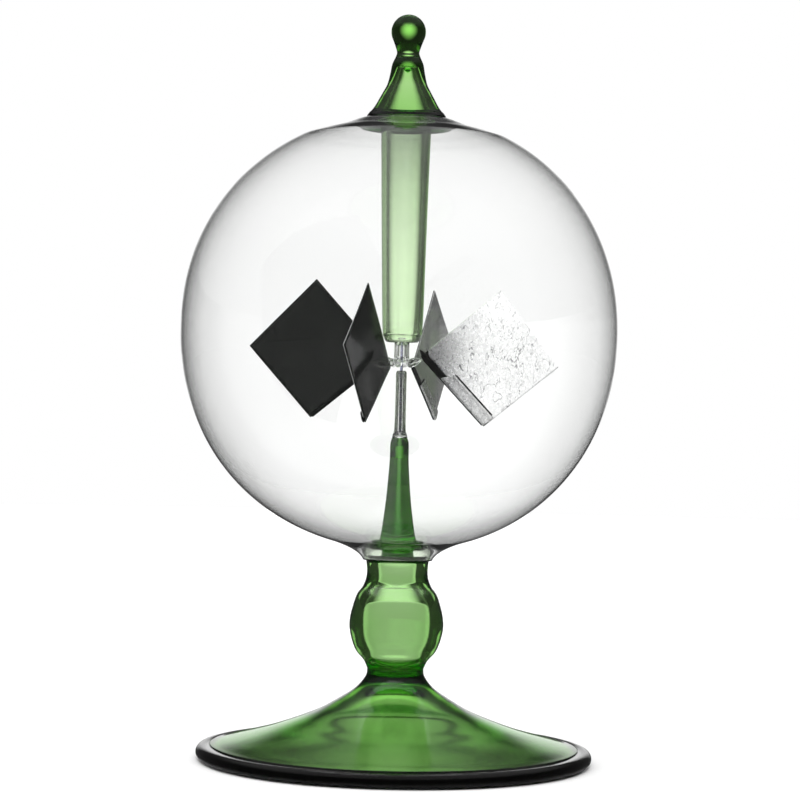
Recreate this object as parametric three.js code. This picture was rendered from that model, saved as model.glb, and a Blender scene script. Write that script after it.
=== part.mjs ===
// Crookes radiometer: four vanes on a glass cup turn on a needle point inside a blown glass globe,
// which stands on a green glass pedestal. Millimetres, +Z up. The origin is on the axis, at the
// level of the ground ring that the foot rests on.
import * as THREE from "three";

// ---- Driving dimensions ------------------------------------------------------------------------

// Pedestal foot: a hollow bell of green glass with a thick rolled rim.
const FOOT_TOP = 23.0;
const FOOT_CAVITY_TOP = 17.7;
const RIM_RADIUS = 48.2;
const RIM_BEAD = 1.75;
const GROUND_RING_WIDTH = 2.4;

// Globe: a clear shell, a little squarer than an ellipsoid, necked in at both ends.
const GLOBE_RADIUS = 55.1;
const GLOBE_HALF_HEIGHT = 55.0;
const GLOBE_CENTRE = 108.1;
const GLOBE_SQUARENESS = 2.1;
const GLOBE_WALL = 1.2;

// Finial ball and the level where it joins the cap.
const BALL_RADIUS = 4.4;
const BALL_CENTRE = 184.1;
const FINIAL_BOTTOM = 177.6;

// Guide tube: it hangs from the cap and keeps the rotor from falling off its needle.
const TUBE_BOTTOM = 105.6;
const TUBE_TOP = 164.5;

// Needle and the parts that carry it.
const NEEDLE_RADIUS = 0.35;
const NEEDLE_BOTTOM = 82.6;
const NEEDLE_SHOULDER = 104.6;
const NEEDLE_TIP = 106.0;
const HOLDER_TOP = 98.4;
const STEM_TOP = 81.9;

// Rotor: a glass cup on the needle point, four glass lugs and four vanes hung by one corner.
const CUP_TOP = 107.3;
const CUP_BOTTOM = 100.5;
const LUG_RADIUS = 3.95;
const LUG_HEIGHT = 100.8;
const VANE_REACH = 17.1;
const SHEET_INNER = [-18.8, -1.7];
const SHEET_BOTTOM = [0, -17.0];
const VANE_RADIUS = 24.0;
const VANE_HEIGHT = 102.7;
const PLATE_THICKNESS = 0.3;
const FOIL_THICKNESS = 0.15;
const LAYER_GAP = 0.3;
const STRIP_THICKNESS = 0.4;
const STRIP_WIDTH = 2.1;
const HEM_START = 7.9;
const HEM_WIDTH = 3.4;

// Each vane was hung by hand, so it sits a little out of true: its rise in millimetres, and in
// degrees the droop of its outer corner and the lean of its top towards the foil side.
const VANES = [
  { azimuth: -19.5, rise: -1.0, droop: 6.4, lean: 0 },
  { azimuth: 70.5, rise: 0.2, droop: -6.6, lean: 2.8 },
  { azimuth: 160.5, rise: 1.1, droop: -1.6, lean: 0 },
  { azimuth: -109.5, rise: -0.4, droop: -4.5, lean: 3.4 },
];

// ---- Materials ---------------------------------------------------------------------------------

const GREEN_GLASS = { color: 0x3f8f35, roughness: 0.05, metalness: 0 };
const CLEAR_GLASS = { color: 0xe9eeee, roughness: 0.03, metalness: 0 };
const STEEL = { color: 0x6c7086, roughness: 0.3, metalness: 1 };
const SOOT = { color: 0x212421, roughness: 0.85, metalness: 0 };
const BLACK_METAL = { color: 0x151716, roughness: 0.6, metalness: 0.4 };
const FOIL = { color: 0xdfe0e0, roughness: 0.3, metalness: 1 };

// ---- Shape helpers -----------------------------------------------------------------------------

// A smooth run of profile points through the [radius, height] points given.
function smooth(points, steps) {
  const knots = points.map(([radius, height]) => new THREE.Vector2(radius, height));
  return new THREE.SplineCurve(knots).getPoints(steps);
}

// Straight runs of profile points.
function straight(points) {
  return points.map(([radius, height]) => new THREE.Vector2(radius, height));
}

// A round run of profile points about [radius, height], between two angles in degrees.
function arc(radius, height, size, fromDegrees, toDegrees, steps) {
  const start = THREE.MathUtils.degToRad(fromDegrees);
  const end = THREE.MathUtils.degToRad(toDegrees);
  return new THREE.ArcCurve(radius, height, size, start, end, false).getPoints(steps);
}

// A body of revolution about Z. The profile runs up the outside of the glass.
function turned(profile, segments) {
  const points = profile.filter((point, i) => i === 0 || point.distanceTo(profile[i - 1]) > 1e-6);
  const geometry = new THREE.LatheGeometry(points, segments);
  geometry.rotateX(Math.PI / 2);
  return geometry;
}

function piece(name, geometry, finish) {
  const mesh = new THREE.Mesh(geometry, new THREE.MeshStandardMaterial(finish));
  mesh.name = name;
  return mesh;
}

// ---- Stand: the fixed glass --------------------------------------------------------------------

function makeFoot() {
  const ringInner = RIM_RADIUS - GROUND_RING_WIDTH;
  const underside = smooth([
    [0, FOOT_CAVITY_TOP], [4.6, 17.0], [9.6, 14.6], [18, 9.9], [30, 5.6], [ringInner - 1, 1.2],
  ], 9);
  const ring = straight([[ringInner, 0], [RIM_RADIUS, 0]]);
  const bead = arc(RIM_RADIUS, RIM_BEAD, RIM_BEAD, -90, 90, 5);
  const top = smooth([
    [RIM_RADIUS, 2 * RIM_BEAD], [44, 4.3], [31.7, 7.6], [20.4, 11.9], [14.5, 15.2], [10, 18.2],
    [7.5, 21.2], [7.1, FOOT_TOP],
  ], 12);
  return turned([...underside, ...ring, ...bead, ...top, new THREE.Vector2(0, FOOT_TOP)], 40);
}

function makeKnop() {
  const bottom = straight([[0, 23.3], [7.1, 23.3]]);
  const outside = smooth([
    [7.1, 23.3], [8.1, 25.3], [10.5, 28.4], [11.9, 34.4], [10.4, 41.2], [8.5, 44.2], [7.7, 47.0],
    [7.9, 50.3], [8.4, 51.8], [9.8, 54.4],
  ], 17);
  const lip = smooth([[9.3, 54.4], [7.9, 52.2], [7.4, 50.3]], 2);
  const cavity = smooth([
    [5.0, 50.3], [4.7, 47.0], [5.2, 44.4], [7.6, 40.8], [9.5, 34.8], [7.6, 29.2], [3.6, 25.4],
    [0, 24.6],
  ], 14);
  return turned([...bottom, ...outside, ...lip, ...cavity], 24);
}

// The globe's round part, between its radius at the lower neck and at the upper neck.
function globeShell(wall, lowerRadius, upperRadius, steps) {
  const radius = GLOBE_RADIUS - wall;
  const halfHeight = GLOBE_HALF_HEIGHT - wall;
  const power = 2 / GLOBE_SQUARENESS;
  const angleAt = (r) => Math.acos((r / radius) ** (1 / power));
  const start = -angleAt(lowerRadius);
  const end = angleAt(upperRadius);
  const points = [];
  for (let i = 0; i <= steps; i += 1) {
    const angle = start + (end - start) * i / steps;
    const height = Math.sign(angle) * Math.abs(Math.sin(angle)) ** power * halfHeight;
    points.push(new THREE.Vector2(Math.cos(angle) ** power * radius, GLOBE_CENTRE + height));
  }
  return points;
}

function makeGlobe() {
  const outside = globeShell(0, 16, 26, 16);
  const inside = globeShell(GLOBE_WALL, 16, 25.2, 16).reverse();
  const lowerNeck = (tip, waist, start) => new THREE.QuadraticBezierCurve(
    new THREE.Vector2(...tip), new THREE.Vector2(...waist), start,
  ).getPoints(4);
  const outerNeck = lowerNeck([8.75, 50.6], [9.7, 53.0], outside[0]);
  const innerNeck = lowerNeck([8.3, 50.6], [9.3, 53.9], inside[inside.length - 1]).reverse();
  const topOut = outside[outside.length - 1];
  const topIn = inside[0];
  const outerTop = smooth([
    [topOut.x, topOut.y], [21, 158.9], [17.2, 159.9], [13.6, 161.3], [10.6, 163.4], [8.2, 166.0],
  ], 6);
  const innerTop = smooth([
    [7.75, 166.0], [9.5, 162.9], [12.4, 160.6], [16.2, 158.9], [20.3, 157.8], [topIn.x, topIn.y],
  ], 6);
  const profile = [...outerNeck, ...outside, ...outerTop, ...innerTop, ...inside, ...innerNeck];
  return turned([...profile, profile[0].clone()], 40);
}

// The stem flares into a flange on the knop, and carries a thin ring just above it.
function makeNeedleStem() {
  const foot = straight([[0, 50.6], [7.0, 50.6], [7.0, 51.5]]);
  const waist = smooth([[7.0, 51.5], [5.0, 52.6], [4.5, 53.7], [5.1, 54.4]], 4);
  const ring = straight([[6.8, 54.5], [6.8, 55.5]]);
  const shaft = smooth([
    [5.2, 55.6], [4.5, 57.0], [3.6, 62], [3.0, 67.4], [2.45, 75], [2.35, 79.6], [1.9, STEM_TOP],
  ], 8);
  const end = [new THREE.Vector2(0, STEM_TOP)];
  return turned([...foot, ...waist, ...ring, ...shaft, ...end], 16);
}

// A clear capillary, flared where it stands on the green stem.
function makeNeedleHolder() {
  const boreRadius = NEEDLE_RADIUS + 0.35;
  const bottom = STEM_TOP + 0.3;
  const outside = smooth([[1.85, bottom], [1.45, bottom + 1.2], [1.3, 86], [1.25, 97.6]], 4);
  const tip = straight([[1.0, HOLDER_TOP], [boreRadius, HOLDER_TOP], [boreRadius, bottom]]);
  return turned([...outside, ...tip, outside[0].clone()], 12);
}

function makeNeedle() {
  const profile = straight([
    [0, NEEDLE_BOTTOM], [NEEDLE_RADIUS, NEEDLE_BOTTOM], [NEEDLE_RADIUS, NEEDLE_SHOULDER],
    [0.06, NEEDLE_TIP], [0, NEEDLE_TIP],
  ]);
  return turned(profile, 12);
}

// An open glass tube, drawn in at the lower end and flared at the upper end.
function makeGuideTube() {
  const outside = smooth([
    [3.9, TUBE_BOTTOM], [4.6, 106.6], [5.1, 110], [5.6, 130], [6.3, 158], [7.0, TUBE_TOP],
  ], 9);
  const inside = smooth([
    [5.3, TUBE_TOP], [5.0, 158], [4.4, 130], [3.9, 110], [3.5, 107.2], [3.3, TUBE_BOTTOM],
  ], 8);
  return turned([...outside, ...inside, outside[0].clone()], 20);
}

// A hollow green cone with a drop of glass left inside its tip, and a skirt inside the globe.
function makeCap() {
  const drop = smooth([[0, 173.9], [0.8, 174.4], [1.2, 175.2]], 3);
  const cavity = smooth([[1.5, 174.9], [2.2, 171.8], [3.4, 169], [5.3, 165.2]], 5);
  const seat = straight([[7.35, 164.9], [7.4, 163.4]]);
  const skirtIn = smooth([[7.4, 163.4], [8.4, 162.0], [10.8, 159.9]], 3);
  const skirtOut = smooth([
    [11.5, 160.1], [10.2, 161.1], [8.9, 162.8], [8.0, 164.6], [7.2, 166.5], [6.05, 168.9],
    [5.05, 170.9], [4.4, 173.6], [4.0, 175.8], [3.3, 177.3],
  ], 13);
  const end = [new THREE.Vector2(0, 177.3)];
  return turned([...drop, ...cavity, ...seat, ...skirtIn, ...skirtOut, ...end], 24);
}

function makeFinial() {
  const ball = arc(0, BALL_CENTRE, BALL_RADIUS, -25, 90, 7);
  ball[ball.length - 1].x = 0;
  const neck = smooth([[3.15, FINIAL_BOTTOM], [2.85, 178.8], [3.25, 180.3], [ball[0].x, ball[0].y]], 5);
  return turned([new THREE.Vector2(0, FINIAL_BOTTOM), ...neck, ...ball], 16);
}

// ---- Rotor: everything that turns --------------------------------------------------------------

function makeRotorCup() {
  const bore = straight([[0, 106.5], [0.5, 106.1], [1.1, 105.0], [1.1, CUP_BOTTOM]]);
  const outside = smooth([[2.3, CUP_BOTTOM], [1.95, 101.6], [1.9, 103], [1.9, 105.4]], 5);
  const dome = smooth([[1.9, 105.4], [1.5, 106.7], [0, CUP_TOP]], 4);
  return turned([...bore, ...outside, ...dome], 12);
}

function makeLug() {
  const geometry = new THREE.SphereGeometry(1, 8, 6);
  geometry.scale(1.35, 1.0, 1.4);
  return geometry;
}

// A point beside a vane's lower inner edge: `along` it from the inner corner, and `inward` from it.
function besideEdge(along, inward) {
  const corner = new THREE.Vector2(...SHEET_INNER);
  const edge = new THREE.Vector2(...SHEET_BOTTOM).sub(corner).normalize();
  const across = new THREE.Vector2(-edge.y, edge.x);
  return corner.addScaledVector(edge, along).addScaledVector(across, inward);
}

// A flat piece that stands in the vane's plane, with its near face `level` towards the foil side.
function flat(outline, level, thickness) {
  const shape = new THREE.Shape(outline);
  const geometry = new THREE.ExtrudeGeometry(shape, { depth: thickness, bevelEnabled: false });
  geometry.translate(0, 0, level);
  geometry.rotateX(Math.PI / 2);
  return geometry;
}

// The sheet beside its strip: a diamond, hung a little out of square.
function sheetOutline() {
  const inward = STRIP_WIDTH + LAYER_GAP;
  return [
    besideEdge(0.25, inward), besideEdge(24.5, inward), new THREE.Vector2(VANE_REACH, 0),
    new THREE.Vector2(0, VANE_REACH),
  ];
}

// The strip that carries the vane, along its lower inner edge, with one end at the lug.
function stripOutline() {
  return [
    besideEdge(0.35, 0.5), besideEdge(1.0, 0), besideEdge(23.8, 0), besideEdge(23.8, STRIP_WIDTH),
    besideEdge(0.35, STRIP_WIDTH),
  ];
}

// The foil's folded hem: a band over the strip, with a round end at the vane's bottom corner.
function hemOutline() {
  return [
    besideEdge(HEM_START, 0), besideEdge(23.9, 0), besideEdge(24.5, 0.4), besideEdge(24.9, 1.2),
    besideEdge(24.95, 2.2), besideEdge(24.6, HEM_WIDTH), besideEdge(HEM_START + 1.9, HEM_WIDTH),
  ];
}

function makeRotor() {
  const rotor = new THREE.Group();
  rotor.add(piece("rotor_cup", makeRotorCup(), CLEAR_GLASS));
  VANES.forEach(({ azimuth, rise, droop, lean }, i) => {
    const arm = new THREE.Group();
    arm.rotation.z = THREE.MathUtils.degToRad(azimuth);
    const lug = piece(`hub_lug_${i + 1}`, makeLug(), CLEAR_GLASS);
    lug.position.set(LUG_RADIUS, 0, LUG_HEIGHT);
    const vane = new THREE.Group();
    vane.position.set(VANE_RADIUS, 0, VANE_HEIGHT + rise);
    vane.rotation.set(THREE.MathUtils.degToRad(lean), THREE.MathUtils.degToRad(droop), 0);
    const foilLevel = PLATE_THICKNESS / 2 + LAYER_GAP;
    const hemLevel = foilLevel + FOIL_THICKNESS + LAYER_GAP;
    const plate = flat(sheetOutline(), -PLATE_THICKNESS / 2, PLATE_THICKNESS);
    const strip = flat(stripOutline(), -STRIP_THICKNESS / 2, STRIP_THICKNESS);
    const foil = flat(sheetOutline(), foilLevel, FOIL_THICKNESS);
    const hem = flat(hemOutline(), hemLevel, FOIL_THICKNESS * 2);
    vane.add(
      piece(`vane_plate_${i + 1}`, plate, SOOT),
      piece(`arm_strip_${i + 1}`, strip, BLACK_METAL),
      piece(`vane_foil_${i + 1}`, foil, FOIL),
      piece(`vane_hem_${i + 1}`, hem, FOIL),
    );
    arm.add(lug, vane);
    rotor.add(arm);
  });
  return rotor;
}

// ---- Assembly ----------------------------------------------------------------------------------

const radiometer = new THREE.Group();
radiometer.add(
  piece("foot", makeFoot(), GREEN_GLASS),
  piece("knop", makeKnop(), GREEN_GLASS),
  piece("globe", makeGlobe(), CLEAR_GLASS),
  piece("needle_stem", makeNeedleStem(), GREEN_GLASS),
  piece("needle_holder", makeNeedleHolder(), CLEAR_GLASS),
  piece("needle", makeNeedle(), STEEL),
  piece("guide_tube", makeGuideTube(), GREEN_GLASS),
  piece("cap", makeCap(), GREEN_GLASS),
  piece("finial", makeFinial(), GREEN_GLASS),
  makeRotor(),
);

export default radiometer;
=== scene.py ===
"""The looks of the Crookes radiometer: blown green and clear glass, four soot and foil vanes.

Outlines are in millimetres from the axis and above the table, and become metres in turned().
"""

import math

import bpy
import numpy as np
from mathutils import Matrix, Vector, noise


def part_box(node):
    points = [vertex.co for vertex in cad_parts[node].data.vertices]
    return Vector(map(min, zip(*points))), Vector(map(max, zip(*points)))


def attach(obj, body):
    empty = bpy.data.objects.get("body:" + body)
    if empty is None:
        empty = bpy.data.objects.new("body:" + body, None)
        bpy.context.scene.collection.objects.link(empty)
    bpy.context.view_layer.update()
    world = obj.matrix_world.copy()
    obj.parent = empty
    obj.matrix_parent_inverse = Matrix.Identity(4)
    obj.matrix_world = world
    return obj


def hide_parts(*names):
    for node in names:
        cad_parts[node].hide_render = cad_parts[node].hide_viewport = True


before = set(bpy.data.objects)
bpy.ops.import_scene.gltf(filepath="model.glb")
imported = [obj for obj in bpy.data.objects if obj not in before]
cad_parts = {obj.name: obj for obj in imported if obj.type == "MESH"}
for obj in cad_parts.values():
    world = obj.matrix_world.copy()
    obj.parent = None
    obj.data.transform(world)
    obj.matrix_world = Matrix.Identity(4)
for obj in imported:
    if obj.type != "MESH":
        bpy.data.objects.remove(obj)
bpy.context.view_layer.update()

MM = 0.001


def mm_box(node):
    """The lowest and highest corners of a CAD node, in millimetres."""
    low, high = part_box(node)
    return np.array(low) / MM, np.array(high) / MM


GLOBE_LOW, GLOBE_HIGH = mm_box("globe")
GLOBE_RADIUS = GLOBE_HIGH[0]
FOOT_HIGH = mm_box("foot")[1]
FINIAL_HIGH = mm_box("finial")[1]
TUBE_LOW, TUBE_HIGH = mm_box("guide_tube")
HOLDER_HIGH = mm_box("needle_holder")[1]
NEEDLE_LOW, NEEDLE_HIGH = mm_box("needle")
STEM_HIGH = mm_box("needle_stem")[1]
CUP_LOW, CUP_HIGH = mm_box("rotor_cup")


# ---- Outlines ----------------------------------------------------------------------------------

def smooth(points, steps):
    """A Catmull-Rom run of outline points through the points given."""
    knots = np.array(points, float)
    padded = np.vstack([2 * knots[0] - knots[1], knots, 2 * knots[-1] - knots[-2]])
    run = []
    for place in np.linspace(0, len(knots) - 1, steps + 1):
        i = min(int(place), len(knots) - 2)
        t = place - i
        a, b, c, d = padded[i:i + 4]
        run.append(0.5 * (2 * b + (c - a) * t + (2 * a - 5 * b + 4 * c - d) * t ** 2
                          + (3 * b - a - 3 * c + d) * t ** 3))
    return np.array(run)


def arc(centre, size, from_degrees, to_degrees, steps):
    """A round run of outline points."""
    angles = np.radians(np.linspace(from_degrees, to_degrees, steps + 1))
    return np.array(centre) + size * np.column_stack([np.cos(angles), np.sin(angles)])


def joined(*runs):
    """One outline from several runs, without doubled points."""
    points = np.vstack([np.atleast_2d(run) for run in runs])
    keep = [0]
    for i in range(1, len(points)):
        if np.linalg.norm(points[i] - points[keep[-1]]) > 0.004:
            keep.append(i)
    return points[keep]


# ---- Meshes ------------------------------------------------------------------------------------

def hand_blown(places):
    """The small errors of hand work, as one field that keeps fused pieces together: in metres."""
    moved = places.copy()
    for i, place in enumerate(places):
        slow = noise.noise_vector(Vector(place) * 22.0)
        moved[i] += np.array([slow.x, slow.y, 0.0]) * 0.00022
    return moved


def new_object(name, vertices, faces, material, shade_smooth=True):
    """A mesh object with one material."""
    mesh = bpy.data.meshes.new(name)
    mesh.from_pydata([tuple(v) for v in vertices], [], faces)
    mesh.validate()
    mesh.update()
    mesh.materials.append(material)
    mesh.polygons.foreach_set("use_smooth", [shade_smooth] * len(mesh.polygons))
    made = bpy.data.objects.new(name, mesh)
    bpy.context.scene.collection.objects.link(made)
    return made


def turned(name, outline, material, segments=128, wobble=True):
    """A closed body of revolution. The outline runs up the outside; it ends on the axis or closes."""
    on_axis = outline[:, 0] < 1e-6
    ends_on_axis = bool(on_axis[0] and on_axis[-1])
    angles = np.linspace(0, 2 * math.pi, segments, endpoint=False)
    vertices = []
    rows = []
    for (radius, height), pole in zip(outline, on_axis):
        if pole:
            rows.append([len(vertices)] * segments)
            vertices.append((0.0, 0.0, height * MM))
        else:
            rows.append(list(range(len(vertices), len(vertices) + segments)))
            for angle in angles:
                x = radius * math.cos(angle) * MM
                y = radius * math.sin(angle) * MM
                vertices.append((x, y, height * MM))
    faces = []
    pairs = list(zip(rows, rows[1:])) + ([] if ends_on_axis else [(rows[-1], rows[0])])
    for low, high in pairs:
        for i in range(segments):
            j = (i + 1) % segments
            corners = [low[i], low[j], high[j], high[i]]
            face = list(dict.fromkeys(corners))
            if len(face) > 2:
                faces.append(face)
    places = np.array(vertices)
    if wobble:
        places = hand_blown(places)
    return new_object(name, places, faces, material)


# ---- Node materials ----------------------------------------------------------------------------

class Nodes:
    """Short calls for building a node tree."""

    def __init__(self, tree):
        self.tree = tree

    def add(self, kind, inputs=None, **settings):
        node = self.tree.nodes.new(kind)
        for key, value in settings.items():
            setattr(node, key, value)
        for key, value in (inputs or {}).items():
            self.feed(node.inputs[key], value)
        return node

    def feed(self, socket, value):
        if isinstance(value, bpy.types.NodeSocket):
            self.tree.links.new(value, socket)
        else:
            socket.default_value = value

    def math(self, operation, *values):
        node = self.tree.nodes.new("ShaderNodeMath")
        node.operation = operation
        for socket, value in zip(node.inputs, values):
            self.feed(socket, value)
        return node.outputs[0]

    def ramp(self, value, low, high, at_low=0.0, at_high=1.0):
        """Goes smoothly from at_low to at_high as the value goes from low to high."""
        inputs = {"Value": value, "From Min": low, "From Max": high, "To Min": at_low, "To Max": at_high}
        return self.add("ShaderNodeMapRange", inputs, interpolation_type="SMOOTHSTEP").outputs["Result"]

    def swing(self, angle, low, high, at_low=0.0, at_high=1.0):
        """ramp for an angle, with its limits in degrees."""
        return self.ramp(angle, math.radians(low), math.radians(high), at_low, at_high)

    def times(self, product, *factors):
        for factor in factors:
            product = self.math("MULTIPLY", product, factor)
        return product

    def mix(self, share, a, b):
        """a where share is 0, b where it is 1."""
        return self.math("ADD", self.math("MULTIPLY", a, self.math("SUBTRACT", 1.0, share)),
                         self.math("MULTIPLY", b, share))

    def colours(self, share, a, b):
        node = self.add("ShaderNodeMix", data_type="RGBA")
        self.feed(node.inputs["Factor"], share)
        self.feed(node.inputs[6], (*a, 1.0))
        self.feed(node.inputs[7], (*b, 1.0))
        return node.outputs[2]

    def noise(self, scale, detail=3.0, roughness=0.5, distortion=0.0, vector=None):
        place = vector or self.add("ShaderNodeTexCoord").outputs["Object"]
        inputs = {"Vector": place, "Scale": scale, "Detail": detail, "Roughness": roughness,
                  "Distortion": distortion}
        return self.add("ShaderNodeTexNoise", inputs).outputs["Fac"]

    def bump(self, height, strength, distance):
        inputs = {"Height": height, "Strength": strength, "Distance": distance}
        return self.add("ShaderNodeBump", inputs).outputs["Normal"]


def new_material(name):
    """An empty material, and the calls that fill its node tree."""
    made = bpy.data.materials.new(name)
    made.use_nodes = True
    made.node_tree.nodes.clear()
    return made, Nodes(made.node_tree)


def finish_material(nodes, surface, volume=None):
    """Connects a material's output."""
    output = nodes.add("ShaderNodeOutputMaterial")
    nodes.tree.links.new(surface, output.inputs["Surface"])
    if volume is not None:
        nodes.tree.links.new(volume, output.inputs["Volume"])


def glass(name, loss_per_mm, wave=0.10, haze=0.008, greyed_between=None, gloss=0.5, soft=0.0):
    """Blown glass: waves and a trace of haze on the surface, colour from its depth. Given a height
    (from, to), its surface turns grey over it, darker towards the top. soft blurs what is seen through it."""
    made, nodes = new_material(name)
    slow = nodes.noise(45.0, detail=2.0)
    streak = nodes.noise(210.0, detail=2.0, distortion=0.6)
    tint = nodes.colours(slow, (0.985, 0.99, 0.985), (1.0, 1.0, 1.0))
    # The surface turns grey over the given heights, darker towards the top.
    if greyed_between:
        place = nodes.add("ShaderNodeTexCoord").outputs["Object"]
        height = nodes.add("ShaderNodeSeparateXYZ", {0: place}).outputs[2]
        height = nodes.math("ADD", height, nodes.math("MULTIPLY", nodes.math("SUBTRACT", slow, 0.5), 0.03))
        tint = nodes.colours(nodes.ramp(height, *greyed_between), (1.0, 1.0, 1.0), (0.74, 0.74, 0.75))
    surface = nodes.add("ShaderNodeBsdfPrincipled", {
        "Base Color": tint,
        "Roughness": nodes.ramp(streak, 0.55, 0.8, soft, soft + haze),
        "IOR": 1.5,
        "Specular IOR Level": gloss,
        "Transmission Weight": 1.0,
        "Normal": nodes.bump(slow, wave, 0.001),
    })
    loss = np.array(loss_per_mm) / MM
    density = float(max(loss.max() * 1.1, 1.0))
    kept = [1.0 - float(part) / density for part in loss]
    volume = nodes.add("ShaderNodeVolumeAbsorption", {"Color": (*kept, 1.0), "Density": density})
    finish_material(nodes, surface.outputs[0], volume.outputs[0])
    return made


# How much red, green and blue light each kind of glass takes away per millimetre.
GREEN_LOSS = (0.150, 0.038, 0.238)
FOOT_LOSS = (0.162, 0.046, 0.250)
# The rim's loss is painted shade: near-black glass where the bead shows dark by refraction.
RIM_SHADE_LOSS = (2.6, 2.3, 2.7)
SEAL_LOSS = (9.0, 7.0, 9.5)
SKIRT_LOSS = (1.9, 0.9, 2.3)
KNOP_LOSS = (0.128, 0.040, 0.190)
CAP_LOSS = (0.23, 0.09, 0.34)
STEM_LOSS = (0.42, 0.14, 0.62)
CLEAR_LOSS = (0.004, 0.002, 0.003)

green_glass = glass("green_glass", GREEN_LOSS)
tube_glass = glass("tube_glass", GREEN_LOSS, greyed_between=(0.122, 0.160), gloss=0.2)
knop_glass = glass("knop_glass", KNOP_LOSS, soft=0.06)
cap_glass = glass("cap_glass", CAP_LOSS, soft=0.04)
foot_glass = glass("foot_glass", FOOT_LOSS, wave=0.08, soft=0.07)
seal_glass = glass("seal_glass", SEAL_LOSS)
skirt_glass = glass("skirt_glass", SKIRT_LOSS)
stem_glass = glass("stem_glass", STEM_LOSS, wave=0.06, gloss=0.1)
rim_shade_glass = glass("rim_shade_glass", RIM_SHADE_LOSS, wave=0.1)
clear_glass = glass("clear_glass", CLEAR_LOSS, wave=0.03)


def soot():
    made, nodes = new_material("lampblack")
    brushed = nodes.noise(260.0, detail=5.0, roughness=0.6)
    cloud = nodes.noise(60.0, detail=2.0)
    surface = nodes.add("ShaderNodeBsdfPrincipled", {
        "Base Color": nodes.colours(brushed, (0.012, 0.014, 0.012), (0.017, 0.020, 0.017)),
        "Roughness": nodes.ramp(cloud, 0.3, 0.7, 0.08, 0.11),
        "Specular IOR Level": 0.12,
    })
    finish_material(nodes, surface.outputs[0])
    return made


def foil(name, shaded_near_hub, far_out, rough):
    """Thin hammered foil: a grain, thin crease lines of painted shade, and painted shade that darkens it
    towards the hub.
    """
    made, nodes = new_material(name)
    place = nodes.add("ShaderNodeTexCoord").outputs["Object"]
    fine = nodes.noise(1500.0, detail=5.0, roughness=0.6)
    cloud = nodes.noise(150.0, detail=3.0)
    stretched = nodes.add("ShaderNodeMapping", {"Vector": place, "Scale": (1.0, 1.0, 0.45)}).outputs[0]
    # The crease lines darken the base colour below: painted shade in the creases.
    lines = nodes.noise(330.0, detail=3.0, roughness=0.55, distortion=0.5, vector=stretched)
    off_line = nodes.math("ABSOLUTE", nodes.math("SUBTRACT", lines, 0.5))
    line = nodes.ramp(off_line, 0.002, 0.010, 1.0, 0.0)
    line = nodes.math("MULTIPLY", line, nodes.ramp(cloud, 0.36, 0.50))
    small = nodes.noise(900.0, detail=2.0, distortion=0.8, vector=stretched)
    off_small = nodes.math("ABSOLUTE", nodes.math("SUBTRACT", small, 0.5))
    small_crease_shade = nodes.ramp(off_small, 0.002, 0.015, 0.7, 0.0)
    small_crease_shade = nodes.math("MULTIPLY", small_crease_shade, nodes.ramp(cloud, 0.62, 0.46))
    line = nodes.math("MAXIMUM", line, small_crease_shade)
    # Painted shade: the foil's colour darkens towards the hub, where it mirrors the dark parts round the
    # hub.
    split = nodes.add("ShaderNodeSeparateXYZ", {0: place})
    flat = nodes.add("ShaderNodeCombineXYZ", {0: split.outputs[0], 1: split.outputs[1]})
    reach = nodes.add("ShaderNodeVectorMath", {0: flat.outputs[0]}, operation="LENGTH").outputs["Value"]
    reach = nodes.math("ADD", reach, nodes.math("MULTIPLY", nodes.math("SUBTRACT", cloud, 0.5), 0.010))
    out_of_hub_shade = nodes.ramp(reach, 0.004, 0.024)
    base = nodes.colours(out_of_hub_shade, shaded_near_hub, far_out)
    crease_shaded = nodes.add("ShaderNodeMix", data_type="RGBA", blend_type="MULTIPLY")
    nodes.feed(crease_shaded.inputs["Factor"], nodes.math("MULTIPLY", line, 0.85))
    nodes.feed(crease_shaded.inputs[6], base)
    nodes.feed(crease_shaded.inputs[7], (0.16, 0.16, 0.17, 1.0))
    surface = nodes.add("ShaderNodeBsdfPrincipled", {
        "Base Color": crease_shaded.outputs[2],
        "Metallic": 1.0,
        "Roughness": nodes.ramp(fine, 0.3, 0.7, rough * 0.8, rough * 1.3),
        "Normal": nodes.bump(fine, 0.25, 0.00008),
    })
    finish_material(nodes, surface.outputs[0])
    return made


def metal(name, dark, light, rough):
    """Plain metal with a fine grain."""
    made, nodes = new_material(name)
    grain = nodes.noise(1500.0, detail=4.0)
    surface = nodes.add("ShaderNodeBsdfPrincipled", {
        "Base Color": nodes.colours(grain, dark, light),
        "Metallic": 1.0,
        "Roughness": nodes.ramp(grain, 0.3, 0.7, rough * 0.7, rough * 1.3),
        "Normal": nodes.bump(grain, 0.08, 0.0001),
    })
    finish_material(nodes, surface.outputs[0])
    return made


soot_coat = soot()
silver_foil = foil("silver_foil", (0.46, 0.46, 0.47), (0.98, 0.98, 0.98), 0.27)
smooth_foil = foil("smooth_foil", (0.60, 0.60, 0.61), (0.86, 0.86, 0.86), 0.07)
# The hem's foil is a darker copy of the silver foil: painted shade for the rolled hem mirroring darker
# surroundings.
shaded_hem_foil = foil("shaded_hem_foil", (0.42, 0.42, 0.43), (0.62, 0.62, 0.62), 0.28)
blued_steel = metal("blued_steel", (0.20, 0.20, 0.30), (0.34, 0.35, 0.46), 0.25)
black_strip = metal("black_strip", (0.010, 0.010, 0.010), (0.025, 0.025, 0.025), 0.5)


# ---- Fixed glass -------------------------------------------------------------------------------

def placed(piece, body, slot, *nodes):
    """Puts a piece on its body, and in the place of the CAD nodes it stands for."""
    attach(piece, body)
    if nodes:
        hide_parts(*nodes)
    return piece


RIM_BEAD = 1.75
RIM_WIDTH = 1.7
RIM_RADIUS = FOOT_HIGH[0] - RIM_BEAD
# Half the gap left between two fused pieces, and the heights where they meet.
SEAM = 0.02
FOOT_TOP = 23.15
CAP_TOP = 177.45
BALL_RADIUS = 4.4


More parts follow.
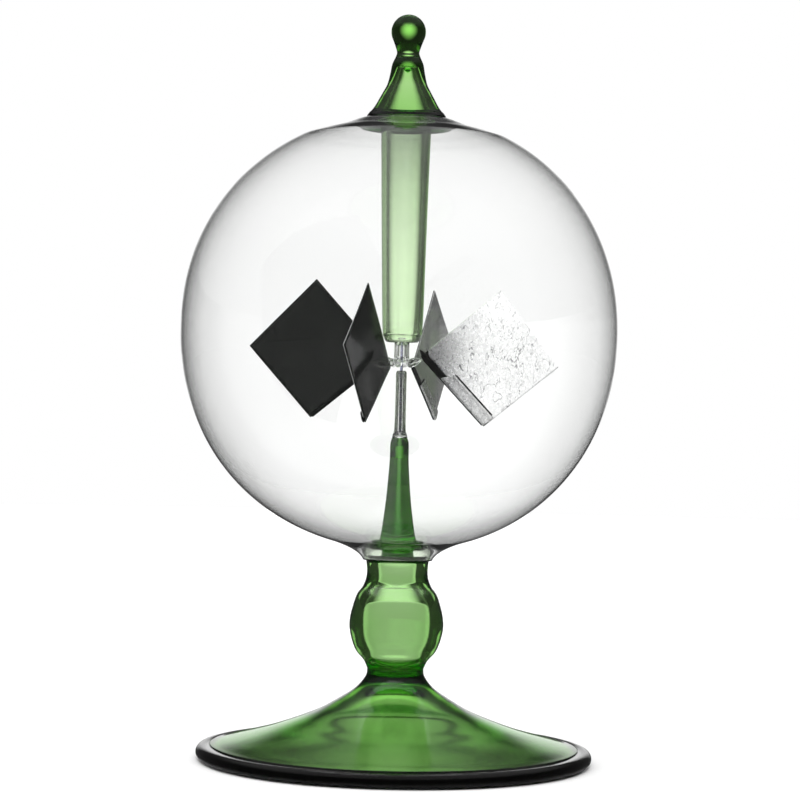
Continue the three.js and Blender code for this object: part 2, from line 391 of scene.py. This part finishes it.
def make_foot():
    join = RIM_RADIUS - RIM_WIDTH
    underside = smooth([
        (0, 17.7), (4.6, 17.0), (9.6, 14.4), (18, 9.35), (24, 6.75), (30, 4.8), (38, 2.8), (join - 1, 1.2),
        (join, 0.9)], 56)
    top = smooth([
        (join, 3.75), (43, 4.5), (31.7, 7.6), (20.4, 11.9), (14.5, 15.2), (10, 18.2),
        (7.5, 21.2), (7.1, FOOT_TOP - SEAM)], 56)
    outline = joined(underside, top, [(0, FOOT_TOP - SEAM)])
    return placed(turned("foot", outline, foot_glass), "stand", "green_glass", "foot")


def make_seal(name, outline, material, segments=96):
    """A ring of fused glass that stands for no CAD node of its own."""
    return placed(turned(name, outline, material, segments), "stand", "green_glass")


def make_rim():
    """The foot's thick rolled rim, in near-black glass: painted shade for the dark that the bead's
    refraction shows.
    """
    join = RIM_RADIUS - RIM_WIDTH + SEAM
    bead = arc((RIM_RADIUS, RIM_BEAD), RIM_BEAD, -90, 80, 24)
    make_seal("foot_rim", joined([(join, 0.0)], bead, [(join, 3.73)]), rim_shade_glass, 160)


def make_knop():
    outside = smooth([
        (7.1, FOOT_TOP + SEAM), (8.1, 25.3), (10.5, 28.4), (11.9, 34.4), (10.4, 41.2), (8.5, 44.2),
        (7.7, 47.0), (7.9, 50.3), (8.4, 51.8), (9.8, 54.4)], 72)
    inner_lip = smooth([(9.5, 54.5), (8.0, 52.2), (7.4, 50.45)], 10)
    cavity = smooth([
        (5.0, 50.45), (4.7, 47.0), (4.9, 44.6), (5.9, 42.7), (7.5, 40.6), (8.3, 37.6), (8.5, 34.4),
        (8.0, 31.0), (6.8, 28.1), (5.0, 26.1), (2.6, 24.8), (0, 24.4)], 80)
    outline = joined([(0, FOOT_TOP + SEAM)], outside, inner_lip, cavity)
    return placed(turned("knop", outline, knop_glass), "stand", "green_glass", "knop")


GLOBE_CENTRE = 108.1
GLOBE_HALF_HEIGHT = 55.0
GLOBE_SQUARENESS = 2.1
GLOBE_WALL = 0.36
GLOBE_SHIFT = -0.8


def globe_shell(wall, lower_radius, upper_radius, steps):
    """The globe's round part: a little squarer than an ellipse."""
    radius = GLOBE_RADIUS - wall
    half_height = GLOBE_HALF_HEIGHT - wall
    power = 2 / GLOBE_SQUARENESS
    start = -math.acos((lower_radius / radius) ** (1 / power))
    end = math.acos((upper_radius / radius) ** (1 / power))
    angles = np.linspace(start, end, steps + 1)
    heights = np.sign(angles) * np.abs(np.sin(angles)) ** power * half_height
    return np.column_stack([np.cos(angles) ** power * radius, GLOBE_CENTRE + heights])


def bezier(start, middle, end, steps):
    """A run of outline points that bends once, towards the middle point."""
    t = np.linspace(0, 1, steps + 1)[:, None]
    return (1 - t) ** 2 * np.array(start) + 2 * t * (1 - t) * np.array(middle) + t ** 2 * np.array(end)


def make_globe():
    outside = globe_shell(0, 16, 26, 90)
    inside = globe_shell(GLOBE_WALL, 16, 25.5, 90)[::-1]
    outer_neck = bezier((8.75, GLOBE_LOW[2]), (9.7, 53.0), outside[0], 14)
    inner_neck = bezier(inside[-1], (9.3, 53.9), (8.3, GLOBE_LOW[2]), 14)
    outer_top = smooth([
        outside[-1], (21, 158.9), (17.2, 159.95), (14.6, 160.85), (12.6, 161.6)], 20)
    inner_top = smooth([
        (12.35, 161.1), (14.5, 160.3), (17.0, 159.45), (20.9, 158.42), inside[0]], 24)
    outline = joined(outer_neck, outside, outer_top, inner_top, inside, inner_neck[:-1])
    made = turned("globe", outline, clear_glass, 192)
    for vertex in made.data.vertices:
        level = (vertex.co.z / MM - GLOBE_CENTRE) / GLOBE_HALF_HEIGHT
        vertex.co.x += GLOBE_SHIFT * MM * max(0.0, 1 - level ** 4)
    return placed(made, "stand", "clear_glass", "globe")


def make_needle_stem():
    foot_end = [(0, 50.5), (5.4, 50.5)]
    flange = smooth([(5.6, 50.6), (5.5, 51.2), (4.4, 52.2), (4.0, 53.2), (4.5, 54.3)], 20)
    ring = smooth([(5.6, 54.8), (5.9, 55.0), (5.6, 55.2)], 8)
    shaft = smooth([
        (4.7, 55.6), (4.3, 57.2), (3.6, 62), (3.0, 67.4), (2.45, 75), (2.35, 79.6),
        (2.1, 81.0), (1.45, STEM_HIGH[2] - 0.15), (0, STEM_HIGH[2])], 56)
    outline = joined(foot_end, flange, ring, shaft)
    made = turned("needle_stem", outline, stem_glass, 64)
    return placed(made, "stand", "green_glass", "needle_stem")


def make_needle_holder():
    bore = 0.6
    seat = STEM_HIGH[2] + SEAM
    bottom = smooth([(0, seat), (1.45, seat - 0.15), (1.95, seat - 0.5)], 16)
    outside = smooth([
        (1.95, seat - 0.5), (1.85, seat + 0.2), (1.5, seat + 1.3), (1.4, 86), (1.35, 97.6)], 34)
    tip = smooth([(1.35, 97.6), (1.25, 98.1), (0.95, HOLDER_HIGH[2]), (bore, HOLDER_HIGH[2] - 0.1)], 8)
    bore_end = smooth([(bore, seat + 1.0), (0.4, seat + 0.6), (0, seat + 0.5)], 8)
    made = turned("needle_holder", joined(bottom, outside, tip, bore_end), clear_glass, 48)
    return placed(made, "stand", "clear_glass", "needle_holder")


def make_needle():
    radius = NEEDLE_HIGH[0]
    low, tip = NEEDLE_LOW[2], NEEDLE_HIGH[2]
    outline = joined(
        arc((0, low + radius), radius, -90, 0, 6),
        smooth([(radius, tip - 1.6), (radius * 0.72, tip - 0.8), (0.05, tip)], 8), [(0, tip)])
    made = turned("needle", outline, blued_steel, 24, wobble=False)
    return placed(made, "stand", "needle_steel", "needle")


def make_guide_tube():
    top = TUBE_HIGH[2] - 2.4
    outside = smooth([
        (3.9, TUBE_LOW[2]), (4.6, 106.6), (5.1, 110), (5.6, 130), (6.3, 158), (6.6, top)], 50)
    inside = smooth([
        (5.25, top), (5.0, 158), (4.5, 130), (4.0, 110), (3.6, 107.2), (3.4, TUBE_LOW[2])], 50)
    outline = joined(outside, inside)
    made = turned("guide_tube", outline, tube_glass, 96)
    return placed(made, "stand", "green_glass", "guide_tube")


SAG = 0.9
SAG_REACH = 9.5
SAG_START = 167.0


def sagged(made):
    """Lets the lower edge of a cap piece dip at the front and back, as the fused joint does."""
    for vertex in made.data.vertices:
        across = vertex.co.x / MM / SAG_REACH
        low = min(1.0, max(0.0, (SAG_START - vertex.co.z / MM) / 3.0))
        vertex.co.z -= SAG * MM * max(0.0, 1 - across ** 2) * low
    return made


def make_cap():
    drop = smooth([(0, 173.6), (0.9, 174.2), (1.3, 175.2)], 10)
    cavity = smooth([(1.8, 174.9), (2.5, 172.3), (3.6, 169.2), (5.1, 166.0), (6.3, 163.8)], 36)
    outside = smooth([
        (9.25, 163.8), (8.6, 164.6), (7.5, 166.3), (6.05, 168.9), (5.05, 170.9), (4.4, 173.6), (4.0, 175.8),
        (3.3, CAP_TOP - SEAM)], 60)
    outline = joined(drop, cavity, outside, [(0, CAP_TOP - SEAM)])
    return placed(sagged(turned("cap", outline, cap_glass)), "stand", "green_glass", "cap")


def make_seals():
    """The dark joint and green skirt under the cap, and the dark rings round the stem's foot."""
    oval = arc((0, 0), 1.0, -90, 270, 24)[:-1]
    washer = joined(
        [(6.75, 162.2), (9.3, 162.2)], smooth([(9.9, 162.35), (10.0, 162.75), (9.35, 163.75)], 12),
        [(6.4, 163.75), (6.75, 163.3)])
    sagged(make_seal("cap_joint", washer, seal_glass))
    skirt_out = smooth([(12.55, 161.45), (11.4, 161.95), (10.2, 162.25), (9.6, 162.15)], 16)
    skirt_in = smooth([(7.6, 162.1), (8.3, 161.2), (9.6, 160.3), (11.2, 159.6), (12.3, 160.3)], 20)
    make_seal("cap_skirt", joined(skirt_out, skirt_in), skirt_glass)
    make_seal("stem_ring", oval * [0.34, 0.30] + [6.3, 55.0], seal_glass)
    make_seal("neck_joint", oval * [0.32, 0.85] + [7.3, 51.5], seal_glass)


def make_finial():
    centre = FINIAL_HIGH[2] - BALL_RADIUS
    ball = arc((0, centre), BALL_RADIUS, -25, 90, 40)
    neck = smooth([(3.25, CAP_TOP + SEAM), (2.85, 178.8), (3.25, 180.3), ball[0]], 20)
    ball[-1, 0] = 0.0
    outline = joined([(0, CAP_TOP + SEAM)], neck, ball)
    return placed(turned("finial", outline, green_glass, 96), "stand", "green_glass", "finial")


# ---- Rotor -------------------------------------------------------------------------------------

def make_rotor_cup():
    low, top = CUP_LOW[2], CUP_HIGH[2]
    bore = smooth([(0, 106.5), (0.5, 106.1), (1.0, 105.0), (1.1, 103.4), (1.1, low)], 20)
    outside = smooth([(2.3, low), (2.3, low + 0.3), (1.95, 101.6), (1.9, 103), (1.9, 105.4)], 20)
    dome = smooth([(1.9, 105.4), (1.75, 106.3), (1.1, 107.0), (0, top)], 14)
    outline = joined(bore, outside, dome)
    made = turned("rotor_cup", outline, clear_glass, 48, wobble=False)
    return placed(made, "rotor", "clear_glass", "rotor_cup")


def node_centre(node):
    """The middle of a CAD node's box, in millimetres."""
    low, high = mm_box(node)
    return (low + high) / 2


def ball_mesh(rings, segments):
    """The vertices and faces of a ball of radius 1."""
    vertices = [(0.0, 0.0, -1.0)]
    for i in range(1, rings):
        polar = math.pi * i / rings
        for j in range(segments):
            angle = 2 * math.pi * j / segments
            flat = math.sin(polar)
            vertices.append((flat * math.cos(angle), flat * math.sin(angle), -math.cos(polar)))
    vertices.append((0.0, 0.0, 1.0))
    faces = [[0, 1 + (j + 1) % segments, 1 + j] for j in range(segments)]
    for i in range(rings - 2):
        base = 1 + i * segments
        for j in range(segments):
            k = (j + 1) % segments
            faces.append([base + j, base + k, base + segments + k, base + segments + j])
    last = len(vertices) - 1
    base = last - segments
    faces += [[base + j, base + (j + 1) % segments, last] for j in range(segments)]
    return np.array(vertices), faces


def make_lug(i):
    """A lump of clear glass, drawn out from the cup towards its vane."""
    centre = node_centre(f"hub_lug_{i}")
    outward = np.array([centre[0], centre[1], 0.0])
    outward /= np.linalg.norm(outward)
    across = np.array([-outward[1], outward[0], 0.0])
    sphere, faces = ball_mesh(20, 32)
    places = []
    for point in sphere:
        lump = 1 + 0.14 * noise.noise(Vector(point) * 1.7 + Vector((i * 5.0, 0, 0)))
        taper = 1 - 0.42 * point[0]
        local = outward * (point[0] * 1.95 - 0.45) + across * (point[1] * 0.95 * taper)
        local = (local + np.array([0, 0, point[2] * 1.1 * taper])) * lump
        places.append((centre + local + np.array([0, 0, 0.55 * point[0] - 0.15])) * MM)
    made = new_object(f"hub_lug_{i}", np.array(places), faces, clear_glass)
    return placed(made, "rotor", "clear_glass", f"hub_lug_{i}")


VANE_REACH = 17.1
SHEET_INNER = np.array([-18.8, -1.7])
SHEET_BOTTOM = np.array([0.0, -17.0])
SHEET_OUTER = np.array([VANE_REACH, 0.0])
SHEET_TOP = np.array([0.0, VANE_REACH])
EDGE_LENGTH = float(np.linalg.norm(SHEET_BOTTOM - SHEET_INNER))
EDGE = (SHEET_BOTTOM - SHEET_INNER) / EDGE_LENGTH
EDGE_NORMAL = np.array([-EDGE[1], EDGE[0]])
# The third vane looks larger than the others in the photo.
CUT_LARGER = {3: 1.04}


def vane_frame(i):
    """Where a vane's centre is, and its directions: outward along it, up along it, to its foil side."""
    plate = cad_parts[f"vane_plate_{i}"]
    corners = np.array([v.co for v in plate.data.vertices], float) / MM
    top = corners[corners[:, 2] > corners[:, 2].max() - 1.0].mean(axis=0)
    reach = np.linalg.norm(corners[:, :2], axis=1)
    outer = corners[reach > reach.max() - 1.0].mean(axis=0)
    slope = (outer - top) / (VANE_REACH * math.sqrt(2))
    azimuth = math.atan2(outer[1], outer[0])
    level = np.array([math.sin(azimuth), -math.cos(azimuth), 0.0])
    foil_side = level - slope * slope.dot(level)
    foil_side /= np.linalg.norm(foil_side)
    across = np.cross(foil_side, slope)
    half = math.sqrt(0.5) * CUT_LARGER.get(i, 1.0)
    outward = (slope + across) * half
    up = (across - slope) * half
    centre = (outer + top) / 2 - across * VANE_REACH * math.sqrt(0.5)
    return centre, outward, up, foil_side


def edge_point(along, inward):
    """Vane coordinates of a point beside the lower inner edge: along it, and in from it."""
    return SHEET_INNER + along * EDGE + inward * EDGE_NORMAL


def sheet_between(name, i, grid, front, back, material):
    """A closed thin sheet. grid holds vane coordinates (rows, columns, 2); front and back are how
    far each point of its two faces stands towards the foil side, in millimetres."""
    centre, outward, up, foil_side = vane_frame(i)
    rows, columns = grid.shape[:2]
    flat = grid.reshape(-1, 2)
    plane = centre + flat[:, :1] * outward + flat[:, 1:] * up
    near = plane + front.reshape(-1, 1) * foil_side
    far = plane + back.reshape(-1, 1) * foil_side
    count = rows * columns
    faces = []
    for r in range(rows - 1):
        for c in range(columns - 1):
            a = r * columns + c
            quad = [a, a + 1, a + columns + 1, a + columns]
            faces.append(quad)
            faces.append([count + k for k in reversed(quad)])
    rim = [c for c in range(columns)]
    rim += [r * columns + columns - 1 for r in range(1, rows)]
    rim += [(rows - 1) * columns + c for c in range(columns - 2, -1, -1)]
    rim += [r * columns for r in range(rows - 2, 0, -1)]
    for a, b in zip(rim, rim[1:] + rim[:1]):
        faces.append([b, a, count + a, count + b])
    made = new_object(name, np.vstack([near, far]) * MM, faces, material)
    return made


def four_cornered(inner, bottom, outer, top, cells):
    """Vane coordinates over a sheet with four corners."""
    steps = np.linspace(0, 1, cells + 1)
    down, across = np.meshgrid(steps, steps)
    down, across = down[..., None], across[..., None]
    left = inner * (1 - down) + bottom * down
    right = top * (1 - down) + outer * down
    return left * (1 - across) + right * across


def heights(grid, rule):
    """A rule's value at each point of a grid."""
    return np.array([[rule(*point) for point in row] for row in grid])


PLATE_HALF = 0.12
STRIP_WIDTH = 1.55
STRIP_TOP = 0.30
FOIL_TOP = 0.22


def warp(i, x, y):
    """How far a vane's sheet bows, in millimetres."""
    return 0.16 * noise.noise(Vector((x * 0.06, y * 0.06, i * 3.7)))


def crease(x, y, seed, spread, width):
    """A thin sharp line where a slow noise crosses zero: 1 on the line, 0 off it."""
    value = noise.noise(Vector((x * spread, y * spread, seed)))
    return math.exp(-(value / width) ** 2)


def crinkle(i, x, y):
    """The foil's creases: fine lines of two sizes, and a grain."""
    seed = i * 11.3
    patch = 0.5 + 0.5 * noise.noise(Vector((x * 0.16, y * 0.16, seed + 2.0)))
    long_lines = crease(x + 0.4 * y, y * 0.5, seed, 0.28, 0.05)
    short_lines = crease(x, y, seed + 4.0, 0.8, 0.10)
    grain = noise.noise(Vector((x * 2.6, y * 2.6, seed + 9.0)))
    return 0.010 * long_lines * patch + 0.006 * short_lines * patch + 0.002 * grain


def make_plate(i):
    grid = four_cornered(SHEET_INNER, SHEET_BOTTOM, SHEET_OUTER, SHEET_TOP, 28)
    middle = heights(grid, lambda x, y: warp(i, x, y))
    made = sheet_between(f"vane_plate_{i}", i, grid, middle + PLATE_HALF, middle - PLATE_HALF, soot_coat)
    return placed(made, "rotor", "lampblack", f"vane_plate_{i}")


# How much of the creasing each foil has. The one behind reflects more evenly in the photo.
CREASED = {1: 1.0, 2: 0.12, 3: 1.0, 4: 1.0}


def make_foil(i):
    cells = 120
    left = []
    for s in np.linspace(0.25, EDGE_LENGTH + 0.25, cells + 1):
        left.append(edge_point(s, STRIP_WIDTH + 0.95 * math.exp(-((s - 0.25) / 0.9) ** 2)))
    left = np.array(left)
    right = np.linspace(0, 1, cells + 1)[:, None] * (SHEET_OUTER - SHEET_TOP) + SHEET_TOP
    across = np.linspace(0, 1, cells + 1)[:, None, None]
    grid = left * (1 - across) + (right + 0.04) * across
    back = heights(grid, lambda x, y: warp(i, x, y) + PLATE_HALF + 0.01)
    front = back + FOIL_TOP - PLATE_HALF - 0.01 + CREASED[i] * heights(grid, lambda x, y: crinkle(i, x, y))
    material = silver_foil if CREASED[i] > 0.5 else smooth_foil
    made = sheet_between(f"vane_foil_{i}", i, grid, front, back, material)
    return placed(made, "rotor", "silver_foil", f"vane_foil_{i}")


def make_strip(i):
    """The black strip along the lower inner edge: drawn out to the lug, and wider under the hem, so that a
    painted shadow line shows beside the hem's inner edge.
    """
    lines = []
    for t in np.linspace(0, 1, 7):
        line = []
        for s in np.linspace(-1.3, EDGE_LENGTH - 0.5, 60):
            narrow = min(1.0, max(0.0, (s + 1.3) / 2.6))
            # Painted shadow: under the hem the strip widens past the hem's inner edge, as a dark line where
            # the hem casts shade.
            hem_shadow_widening = min(1.0, max(0.0, (s - HEM_START - 1.2) / 0.8))
            outer = 0.9 * (1 - narrow) - 0.28 * narrow
            inner = 1.2 * (1 - narrow) + (STRIP_WIDTH + (HEM_WIDTH + 0.3 - STRIP_WIDTH) * hem_shadow_widening) * narrow
            line.append(edge_point(s, outer + (inner - outer) * t))
        lines.append(line)
    grid = np.array(lines)
    level = heights(grid, lambda x, y: warp(i, x, y))
    back = level + PLATE_HALF + 0.01
    made = sheet_between(f"arm_strip_{i}", i, grid, level + STRIP_TOP, back, black_strip)
    return placed(made, "rotor", "black_strip", f"arm_strip_{i}")


HEM_START = 7.9
HEM_SLANT = 1.9
HEM_WIDTH = 3.4
HEM_LEVEL = 0.56
HEM_SHEET = 0.05
# How far each vane's hem runs past the lower corner.
HEM_END = {1: 0.35, 2: 0.9, 3: 0.2, 4: 0.9}


def hem_path():
    """The folded band across, from its inner edge over the strip to its outer edge."""
    path = [(HEM_WIDTH, STRIP_TOP + 0.04), (HEM_WIDTH - 0.18, HEM_LEVEL - 0.03)]
    path += [(t, HEM_LEVEL + 0.03 * math.sin(t * 2)) for t in np.linspace(HEM_WIDTH - 0.4, 0.5, 16)]
    turn = np.radians(np.linspace(90, 0, 8))
    path += [(0.3 - 0.3 * math.cos(a), HEM_LEVEL - 0.3 + 0.3 * math.sin(a)) for a in turn]
    return path


def make_hem(i):
    """The foil's folded edge, over the strip."""
    centre, outward, up, foil_side = vane_frame(i)
    path = hem_path()
    columns = 70
    vertices = []
    for offset in (HEM_SHEET / 2, -HEM_SHEET / 2):
        for k, (t, w) in enumerate(path):
            before = np.array(path[max(k - 1, 0)])
            after = np.array(path[min(k + 1, len(path) - 1)])
            run = (after - before) / np.linalg.norm(after - before)
            side = np.array([-run[1], run[0]]) * -1
            bulge = math.sqrt(max(0.0, 1 - ((t - HEM_WIDTH / 2) / (HEM_WIDTH / 2 + 0.25)) ** 2))
            share = min(max(t / HEM_WIDTH, 0.0), 1.0)
            start = HEM_START + HEM_SLANT * share ** 2 * (3 - 2 * share)
            end = EDGE_LENGTH - 0.35 + 0.3 * share + HEM_END[i] * bulge
            for s in np.linspace(start, end, columns):
                lump = 0.035 * noise.noise(Vector((s * 0.9, t * 1.3, i * 7.0)))
                lump += 0.012 * noise.noise(Vector((s * 3.1, t * 3.1, i * 7.0)))
                x, y = edge_point(s, t + side[0] * (offset + lump))
                level = w + side[1] * (offset + lump) + warp(i, x, y)
                vertices.append((centre + x * outward + y * up + level * foil_side) * MM)
    rows = len(path)
    count = rows * columns
    faces = []
    for r in range(rows - 1):
        for c in range(columns - 1):
            a = r * columns + c
            quad = [a, a + columns, a + columns + 1, a + 1]
            faces.append(quad)
            faces.append([count + k for k in reversed(quad)])
    rim = [r * columns for r in range(rows)]
    rim += [(rows - 1) * columns + c for c in range(1, columns)]
    rim += [r * columns + columns - 1 for r in range(rows - 2, -1, -1)]
    rim += [c for c in range(columns - 2, 0, -1)]
    for a, b in zip(rim, rim[1:] + rim[:1]):
        faces.append([b, a, count + a, count + b])
    made = new_object(f"vane_hem_{i}", np.array(vertices), faces, shaded_hem_foil)
    return placed(made, "rotor", "silver_foil", f"vane_hem_{i}")


# ---- Stage: floor, surroundings and camera -----------------------------------------------------

# How many glass surfaces a ray has passed: the clear globe alone, and the most before a piece of
# thick glass inside the globe.
GLOBE_SURFACES = 4.0
MORE_THAN_GLOBE = 5.0


def path_kinds(nodes):
    """Which rays see what: 1 for a ray straight from the camera, 1 for one that has only been bent
    by glass on its way, and 1 for one that came through a solid lump and not a hollow one."""
    path = nodes.add("ShaderNodeLightPath")
    turned_back = nodes.math("ADD", path.outputs["Glossy Depth"], path.outputs["Diffuse Depth"])
    through = nodes.math("LESS_THAN", turned_back, 0.5)
    solid = nodes.math("GREATER_THAN", nodes.math("PINGPONG", path.outputs["Transmission Depth"], 2.0), 1.0)
    return path, path.outputs["Is Camera Ray"], through, solid


FLOOR_RADIUS = 1.6
FLOOR_SIDES = 96
FLOOR_GAP = 0.0002


def make_floor():
    """A pale floor. Its shade depends on how a ray came to it, as the surroundings' light does."""
    made, nodes = new_material("floor")
    path, direct, through, solid = path_kinds(nodes)
    place = nodes.add("ShaderNodeTexCoord").outputs["Object"]
    distance = nodes.add("ShaderNodeVectorMath", {0: place}, operation="LENGTH").outputs["Value"]
    x, y, _ = nodes.add("ShaderNodeSeparateXYZ", {0: place}).outputs
    turn = nodes.math("ARCTAN2", nodes.math("ABSOLUTE", x), y)
    behind = nodes.swing(turn, 18, 38, 1.0, 0.0)
    # For rays through glass the floor's colour holds painted light and shade: painted shade near the foot
    # behind it, a painted pool of light under the foot, painted dark beyond the foot's rim, and a painted
    # light stripe behind.
    shaded = nodes.ramp(distance, 0.45, 1.2, 0.45, 0.83)
    pool = nodes.mix(behind, 0.80, shaded)
    inside = nodes.math("GREATER_THAN", path.outputs["Transmission Depth"], MORE_THAN_GLOBE)
    light_stripe = nodes.swing(turn, 1, 11, 0.34, 0.02)
    pooled = nodes.ramp(nodes.math("ABSOLUTE", x), 0.008, 0.034, 0.85, 0.16)
    under_foot = nodes.mix(nodes.ramp(distance, 0.050, 0.065), pooled, 0.02)
    far_floor = nodes.times(nodes.ramp(distance, 0.5, 1.5, 0.0, 0.6), nodes.swing(turn, 3, 20, 1.0, 0.0))
    under_foot = nodes.math("MAXIMUM", under_foot, far_floor)
    pool = nodes.mix(solid, pool, nodes.mix(inside, under_foot, light_stripe))
    in_globe = nodes.math("COMPARE", path.outputs["Transmission Depth"], GLOBE_SURFACES, 0.5)
    bounced = nodes.mix(in_globe, nodes.ramp(distance, 0.048, 0.052, 0.50, 0.05), 0.45)
    seen = nodes.mix(direct, nodes.mix(through, bounced, pool), 0.97)
    grain = nodes.noise(900.0, detail=4.0)
    shade = nodes.times(seen, nodes.ramp(grain, 0.3, 0.7, 0.99, 1.0))
    colour = nodes.add("ShaderNodeCombineColor", {0: shade, 1: shade, 2: shade}).outputs[0]
    surface = nodes.add("ShaderNodeBsdfDiffuse", {"Color": colour})
    finish_material(nodes, surface.outputs[0])
    rim = arc((0, 0), FLOOR_RADIUS, 0, 360, FLOOR_SIDES)[:-1]
    ring = [(rim_x, rim_y, 0.0) for rim_x, rim_y in rim]
    floor = new_object("floor", ring, [list(range(FLOOR_SIDES))], made, shade_smooth=False)
    floor.location.z = -FLOOR_GAP


BACKDROP = 1.12
DARK = 0.03
SOFTBOX = Vector((-0.62, -0.72, 0.30)).normalized()
SPOT_HEIGHT = 0.05
STEM_DIM = 0.55
STRIP_TURN = math.radians(39)
STRIP_EDGE = math.radians(36)


def panel_light(nodes, turn, from_panel, elevation, low):
    """What hollow glass shows: a wide bright panel behind, and a narrow one every 90 degrees."""
    behind = nodes.swing(turn, 4, 18, 1.0, 0.0)
    high = nodes.swing(elevation, 12, 34, 1.0, 0.0)
    back_panel = nodes.times(behind, high, low)
    panel = nodes.swing(from_panel, 5.5, 8.5, 1.0, 0.0)
    level = nodes.swing(nodes.math("ABSOLUTE", elevation), 9, 15, 1.0, 0.0)
    window = nodes.math("MAXIMUM", back_panel, nodes.times(panel, level))
    return nodes.mix(window, DARK, BACKDROP)


def spot_light(nodes, path, from_panel, elevation):
    """What solid glass shows: a soft spot every 90 degrees, dimmer through the needle stem."""
    above = nodes.math("POWER", nodes.math("SUBTRACT", elevation, SPOT_HEIGHT), 2.0)
    off_centre = nodes.math("SQRT", nodes.math("ADD", nodes.times(from_panel, from_panel), above))
    spot = nodes.swing(off_centre, 1, 25, 1.25, 0.02)
    stem_ray = nodes.math("GREATER_THAN", path.outputs["Transmission Depth"], MORE_THAN_GLOBE)
    return nodes.times(spot, nodes.mix(stem_ray, 1.0, STEM_DIM))


def vane_light(nodes, x, turn, elevation, facing, overhead):
    """What the vanes mirror: the softbox, the light overhead, a dim room with a dark part behind at
    the right, and in that part a small strip light, where vane 2 mirrors it in the photo's view."""
    soft_wide = nodes.ramp(facing, 0.10, 0.70)
    soft = nodes.math("ADD", nodes.times(soft_wide, 1.05), nodes.times(overhead, 0.5))
    right = nodes.ramp(x, 0.0, 0.1)
    to_strip = nodes.math("ABSOLUTE", nodes.math("SUBTRACT", turn, STRIP_TURN))
    slanted = nodes.math("ADD", elevation, nodes.times(nodes.math("SUBTRACT", turn, STRIP_EDGE), 1.5))
    strip = nodes.swing(to_strip, 2.8, 3.6, 1.2, 0.0)
    strip = nodes.times(strip, right, nodes.swing(elevation, 0.4, 1.5))
    strip = nodes.times(strip, nodes.swing(slanted, 1.7, 2.7, 1.0, 0.0))
    dark_part = nodes.times(nodes.swing(to_strip, 18, 32, 1.0, 0.0), right)
    return nodes.math("ADD", nodes.math("ADD", soft, nodes.mix(dark_part, 0.50, 0.10)), strip)


def make_surroundings():
    """Studio light that differs by how a ray came to it: white straight from the camera, panels and
    spots through glass, and soft lights in a reflection."""
    world = bpy.data.worlds.new("studio")
    world.use_nodes = True
    world.node_tree.nodes.clear()
    nodes = Nodes(world.node_tree)
    path, direct, through, solid = path_kinds(nodes)
    direction = nodes.add("ShaderNodeTexCoord").outputs["Generated"]
    x, y, z = nodes.add("ShaderNodeSeparateXYZ", {0: direction}).outputs
    azimuth = nodes.math("ADD", nodes.math("ARCTAN2", x, y), 2 * math.pi)
    elevation = nodes.math("ARCSINE", z)
    turn = nodes.math("ARCTAN2", nodes.math("ABSOLUTE", x), y)
    from_panel = nodes.math("PINGPONG", azimuth, math.radians(45))
    low = nodes.swing(elevation, -18, -8)
    hollow_view = panel_light(nodes, turn, from_panel, elevation, low)
    backdrop = nodes.mix(solid, hollow_view, spot_light(nodes, path, from_panel, elevation))

    overhead = nodes.swing(elevation, 22, 50)
    toward = nodes.add("ShaderNodeVectorMath", {0: direction, 1: SOFTBOX}, operation="DOT_PRODUCT")
    facing = toward.outputs["Value"]
    on_vane = vane_light(nodes, x, turn, elevation, facing, overhead)
    softbox = nodes.ramp(facing, 0.35, 0.85)
    room = nodes.math("ADD", nodes.times(overhead, 1.95), nodes.times(softbox, 0.5))
    grazed = nodes.times(nodes.swing(turn, 5, 22, 1.0, 0.0), nodes.swing(elevation, 8, 22, 1.0, 0.0), low)
    on_glass = nodes.math("ADD", nodes.math("ADD", nodes.times(overhead, 0.30), 0.05), grazed)

    scattered = nodes.math("GREATER_THAN", path.outputs["Diffuse Depth"], 0.5)
    inside = nodes.math("GREATER_THAN", path.outputs["Transmission Depth"], 3.5)
    light = nodes.mix(inside, on_glass, on_vane)
    light = nodes.mix(scattered, light, room)
    light = nodes.mix(through, light, backdrop)
    light = nodes.mix(direct, light, 1.0)
    background = nodes.add("ShaderNodeBackground", {"Color": (1, 1, 1, 1), "Strength": light})
    output = nodes.add("ShaderNodeOutputWorld")
    nodes.tree.links.new(background.outputs[0], output.inputs["Surface"])
    world.cycles.sampling_method = "NONE"
    bpy.context.scene.world = world


CAMERA_DISTANCE = 0.632
CAMERA_HEIGHT = 0.0877
CAMERA_TARGET_HEIGHT = 0.0910
CAMERA_LENS = 112.5
CAMERA_ROLL = 1.2
CAMERA_SIDE = -0.0002


def make_camera():
    """The photo's view: nearly level, from ahead, with the picture rolled a little."""
    data = bpy.data.cameras.new("camera")
    data.lens = CAMERA_LENS
    data.sensor_width = 36.0
    camera = bpy.data.objects.new("camera", data)
    bpy.context.scene.collection.objects.link(camera)
    camera.location = (CAMERA_SIDE, -CAMERA_DISTANCE, CAMERA_HEIGHT)
    target = Vector((CAMERA_SIDE, 0, CAMERA_TARGET_HEIGHT))
    look = (target - camera.location).to_track_quat("-Z", "Y").to_matrix().to_4x4()
    roll = Matrix.Rotation(math.radians(CAMERA_ROLL), 4, "Z")
    camera.rotation_euler = (look @ roll).to_euler()
    bpy.context.scene.camera = camera


def set_light_paths():
    """Enough bounces for glass inside glass."""
    scene = bpy.context.scene
    scene.view_settings.view_transform = "Standard"
    scene.cycles.max_bounces = 32
    scene.cycles.transmission_bounces = 32
    scene.cycles.glossy_bounces = 16
    scene.cycles.transparent_max_bounces = 32


# ---- Scene -------------------------------------------------------------------------------------

make_camera()
make_surroundings()
make_floor()
set_light_paths()

for make in (make_foot, make_knop, make_globe, make_needle_stem, make_needle_holder, make_needle,
             make_guide_tube, make_cap, make_seals, make_finial, make_rotor_cup, make_rim):
    make()
for vane in (1, 2, 3, 4):
    make_lug(vane)
    make_plate(vane)
    make_foil(vane)
    make_strip(vane)
    make_hem(vane)
